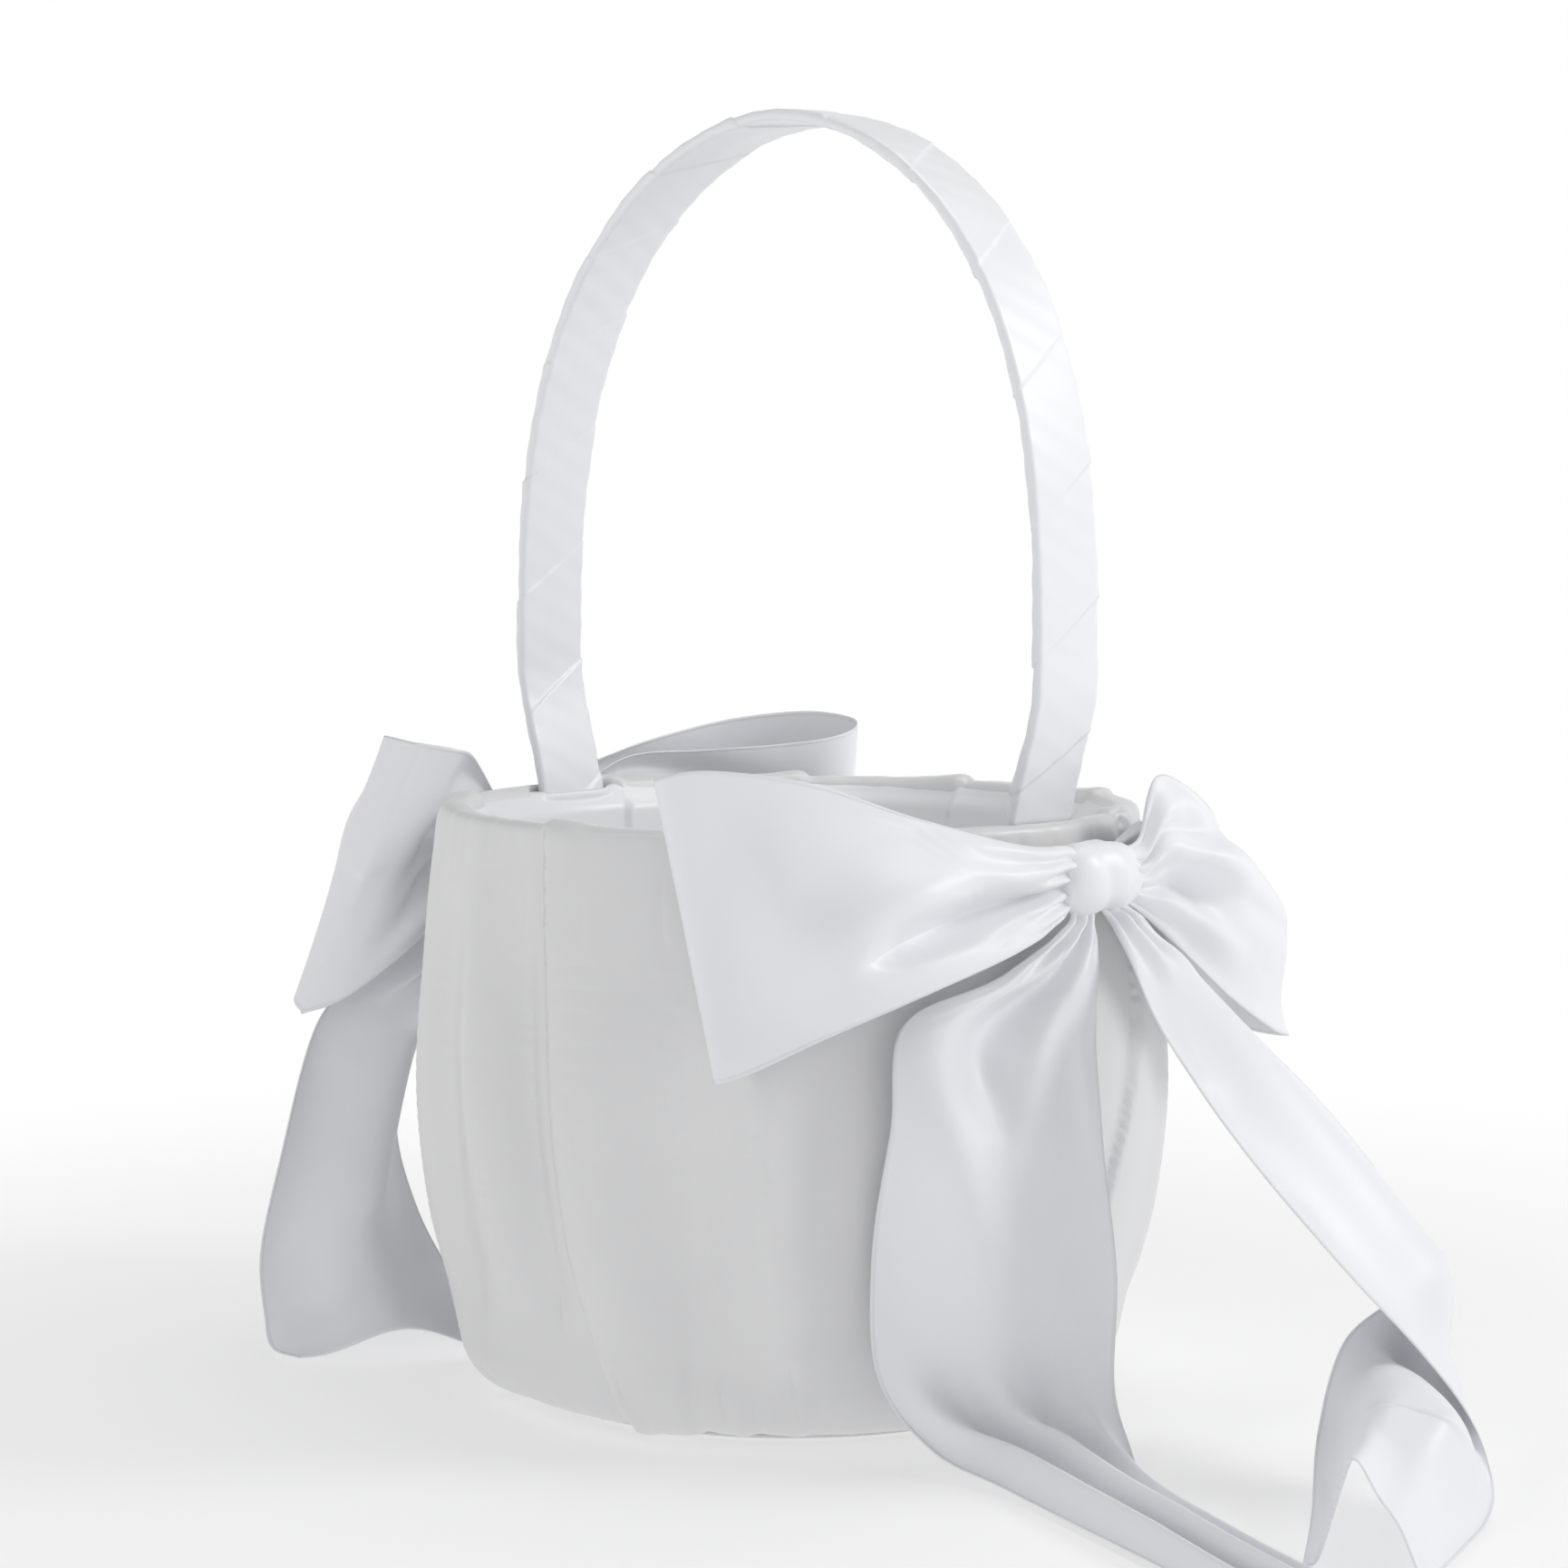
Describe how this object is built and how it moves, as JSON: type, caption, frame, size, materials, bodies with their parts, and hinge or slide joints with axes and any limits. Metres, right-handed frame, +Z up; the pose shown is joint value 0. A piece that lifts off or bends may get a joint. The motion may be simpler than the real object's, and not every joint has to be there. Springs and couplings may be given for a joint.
{
  "type": "flower girl basket",
  "caption": "Small round padded satin basket with a ribbon-wrapped arch handle and a ribbon bow with trailing tails at each leg.",
  "frame": {"origin": "middle of the flat underside that the basket stands on", "axes": "+Z up; X runs from leg to leg of the handle; the bow whose tails reach furthest is at +X"},
  "size_m": [0.342, 0.1627, 0.2644],
  "materials": {
    "cover_satin": "satin",
    "lining_satin": "satin",
    "ribbon_satin": "satin",
    "batting": "matte",
    "base_felt": "matte",
    "paperboard": "matte",
    "handle_band": "matte",
    "rivet": "brushed",
    "glue": "gloss"
  },
  "bodies": {
    "root": {"bucket_wall": "paperboard", "base_board": "paperboard", "batting": "batting", "satin_cover": "cover_satin", "base_pad": "base_felt", "lining": "lining_satin", "floor_card": "paperboard", "floor_card_cover": "lining_satin", "handle_core": "handle_band", "handle_wrap": "ribbon_satin", "handle_rivet_right_lower": "rivet", "handle_rivet_right_upper": "rivet", "handle_rivet_left_lower": "rivet", "handle_rivet_left_upper": "rivet", "right_bow_glue": "glue", "right_bow_knot": "ribbon_satin", "right_bow_long_loop": "ribbon_satin", "right_bow_drooping_loop": "ribbon_satin", "left_bow_glue": "glue", "left_bow_knot": "ribbon_satin", "left_bow_long_loop": "ribbon_satin", "left_bow_drooping_loop": "ribbon_satin"},
    "right_front_tail": {"right_bow_front_tail": "ribbon_satin"},
    "right_back_tail": {"right_bow_back_tail": "ribbon_satin"},
    "left_back_tail": {"left_bow_back_tail": "ribbon_satin"},
    "left_front_tail": {"left_bow_front_tail": "ribbon_satin"}
  },
  "joints": [
    {"name": "right_front_tail_lift", "type": "hinge", "parent": "root", "child": "right_front_tail", "pos_m": [0.082, -0.0055, 0.103], "axis": [-0.4226, -0.9063, 0], "range_deg": [0, 35]},
    {"name": "right_back_tail_lift", "type": "hinge", "parent": "root", "child": "right_back_tail", "pos_m": [0.0845, 0.00575, 0.103], "axis": [0.5, -0.866, 0], "range_deg": [0, 35]},
    {"name": "left_back_tail_lift", "type": "hinge", "parent": "root", "child": "left_back_tail", "pos_m": [-0.082, 0.0055, 0.103], "axis": [0.4226, 0.9063, 0], "range_deg": [0, 35]},
    {"name": "left_front_tail_lift", "type": "hinge", "parent": "root", "child": "left_front_tail", "pos_m": [-0.084, -0.0065, 0.103], "axis": [0, 1, 0], "range_deg": [0, 35]}
  ]
}
